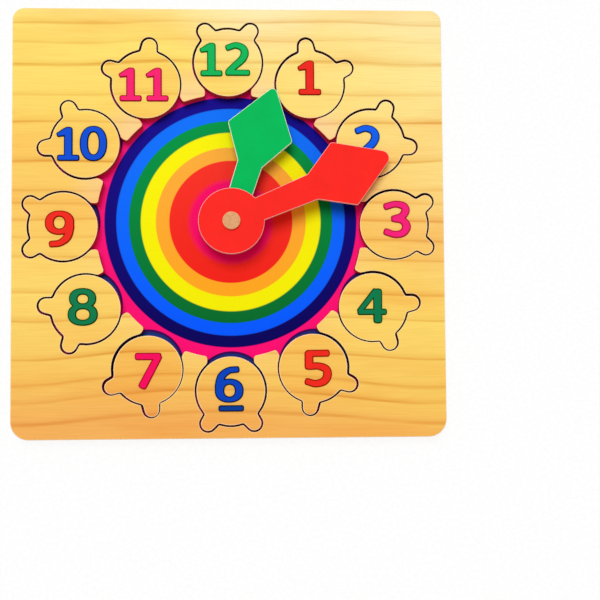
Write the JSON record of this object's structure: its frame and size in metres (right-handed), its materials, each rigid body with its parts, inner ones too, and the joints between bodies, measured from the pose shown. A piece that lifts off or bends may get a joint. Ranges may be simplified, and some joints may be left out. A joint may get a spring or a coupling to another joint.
{
  "type": "wooden clock puzzle",
  "caption": "Square wooden teaching clock puzzle: lift-out number pieces in wells round a rainbow dial, with hour and minute hands that turn on a peg.",
  "frame": {"origin": "middle of the board's flat underside", "axes": "+Z out of the dial's face, +Y towards 12 o'clock, +X towards 3 o'clock"},
  "size_m": [0.3, 0.3, 0.0245],
  "materials": {
    "pine": "satin lacquer over knot-free pine with brown growth-ring lines",
    "plywood": "bare sanded plywood",
    "print": "glossy printed sheet with rings of rainbow colour",
    "beech": "turned beech, satin",
    "red_paint": "satin enamel on wood",
    "green_paint": "satin enamel on wood",
    "dark_green_paint": "satin enamel on wood",
    "blue_paint": "satin enamel on wood",
    "pink_paint": "satin enamel on wood"
  },
  "bodies": {
    "board": {"backing_board": "plywood", "printed_sheet": "print", "frame_board": "pine", "spacer": "beech", "peg": "beech"},
    "hour_hand": {"hour_hand": "green_paint"},
    "minute_hand": {"minute_hand": "red_paint"},
    "piece_1": {"number_piece_1": "pine", "numeral_1": "red_paint"},
    "piece_2": {"number_piece_2": "pine", "numeral_2": "blue_paint"},
    "piece_3": {"number_piece_3": "pine", "numeral_3": "pink_paint"},
    "piece_4": {"number_piece_4": "pine", "numeral_4": "dark_green_paint"},
    "piece_5": {"number_piece_5": "pine", "numeral_5": "red_paint"},
    "piece_6": {"number_piece_6": "pine", "numeral_6": "blue_paint", "underline_6": "blue_paint"},
    "piece_7": {"number_piece_7": "pine", "numeral_7": "pink_paint"},
    "piece_8": {"number_piece_8": "pine", "numeral_8": "dark_green_paint"},
    "piece_9": {"number_piece_9": "pine", "numeral_9": "red_paint"},
    "piece_10": {"number_piece_10": "pine", "numeral_10_one": "blue_paint", "numeral_10_zero": "blue_paint"},
    "piece_11": {"number_piece_11": "pine", "numeral_11_left": "pink_paint", "numeral_11_right": "pink_paint"},
    "piece_12": {"number_piece_12": "pine", "numeral_12_one": "green_paint", "numeral_12_two": "green_paint"}
  },
  "joints": [
    {"name": "hour_hand_turn", "type": "hinge", "parent": "board", "child": "hour_hand", "pos_m": [0.0014, -0.0006, 0.0159], "axis": [0, 0, -1], "continuous": true},
    {"name": "minute_hand_turn", "type": "hinge", "parent": "board", "child": "minute_hand", "pos_m": [0.0014, -0.0006, 0.0202], "axis": [0, 0, -1], "continuous": true},
    {"name": "piece_1_lift", "type": "slide", "parent": "board", "child": "piece_1", "axis": [0, 0, 1], "range_m": [0, 0.03]},
    {"name": "piece_2_lift", "type": "slide", "parent": "board", "child": "piece_2", "axis": [0, 0, 1], "range_m": [0, 0.0046]},
    {"name": "piece_3_lift", "type": "slide", "parent": "board", "child": "piece_3", "axis": [0, 0, 1], "range_m": [0, 0.03]},
    {"name": "piece_4_lift", "type": "slide", "parent": "board", "child": "piece_4", "axis": [0, 0, 1], "range_m": [0, 0.03]},
    {"name": "piece_5_lift", "type": "slide", "parent": "board", "child": "piece_5", "axis": [0, 0, 1], "range_m": [0, 0.03]},
    {"name": "piece_6_lift", "type": "slide", "parent": "board", "child": "piece_6", "axis": [0, 0, 1], "range_m": [0, 0.03]},
    {"name": "piece_7_lift", "type": "slide", "parent": "board", "child": "piece_7", "axis": [0, 0, 1], "range_m": [0, 0.03]},
    {"name": "piece_8_lift", "type": "slide", "parent": "board", "child": "piece_8", "axis": [0, 0, 1], "range_m": [0, 0.0046]},
    {"name": "piece_9_lift", "type": "slide", "parent": "board", "child": "piece_9", "axis": [0, 0, 1], "range_m": [0, 0.03]},
    {"name": "piece_10_lift", "type": "slide", "parent": "board", "child": "piece_10", "axis": [0, 0, 1], "range_m": [0, 0.03]},
    {"name": "piece_11_lift", "type": "slide", "parent": "board", "child": "piece_11", "axis": [0, 0, 1], "range_m": [0, 0.03]},
    {"name": "piece_12_lift", "type": "slide", "parent": "board", "child": "piece_12", "axis": [0, 0, 1], "range_m": [0, 0.03]}
  ]
}
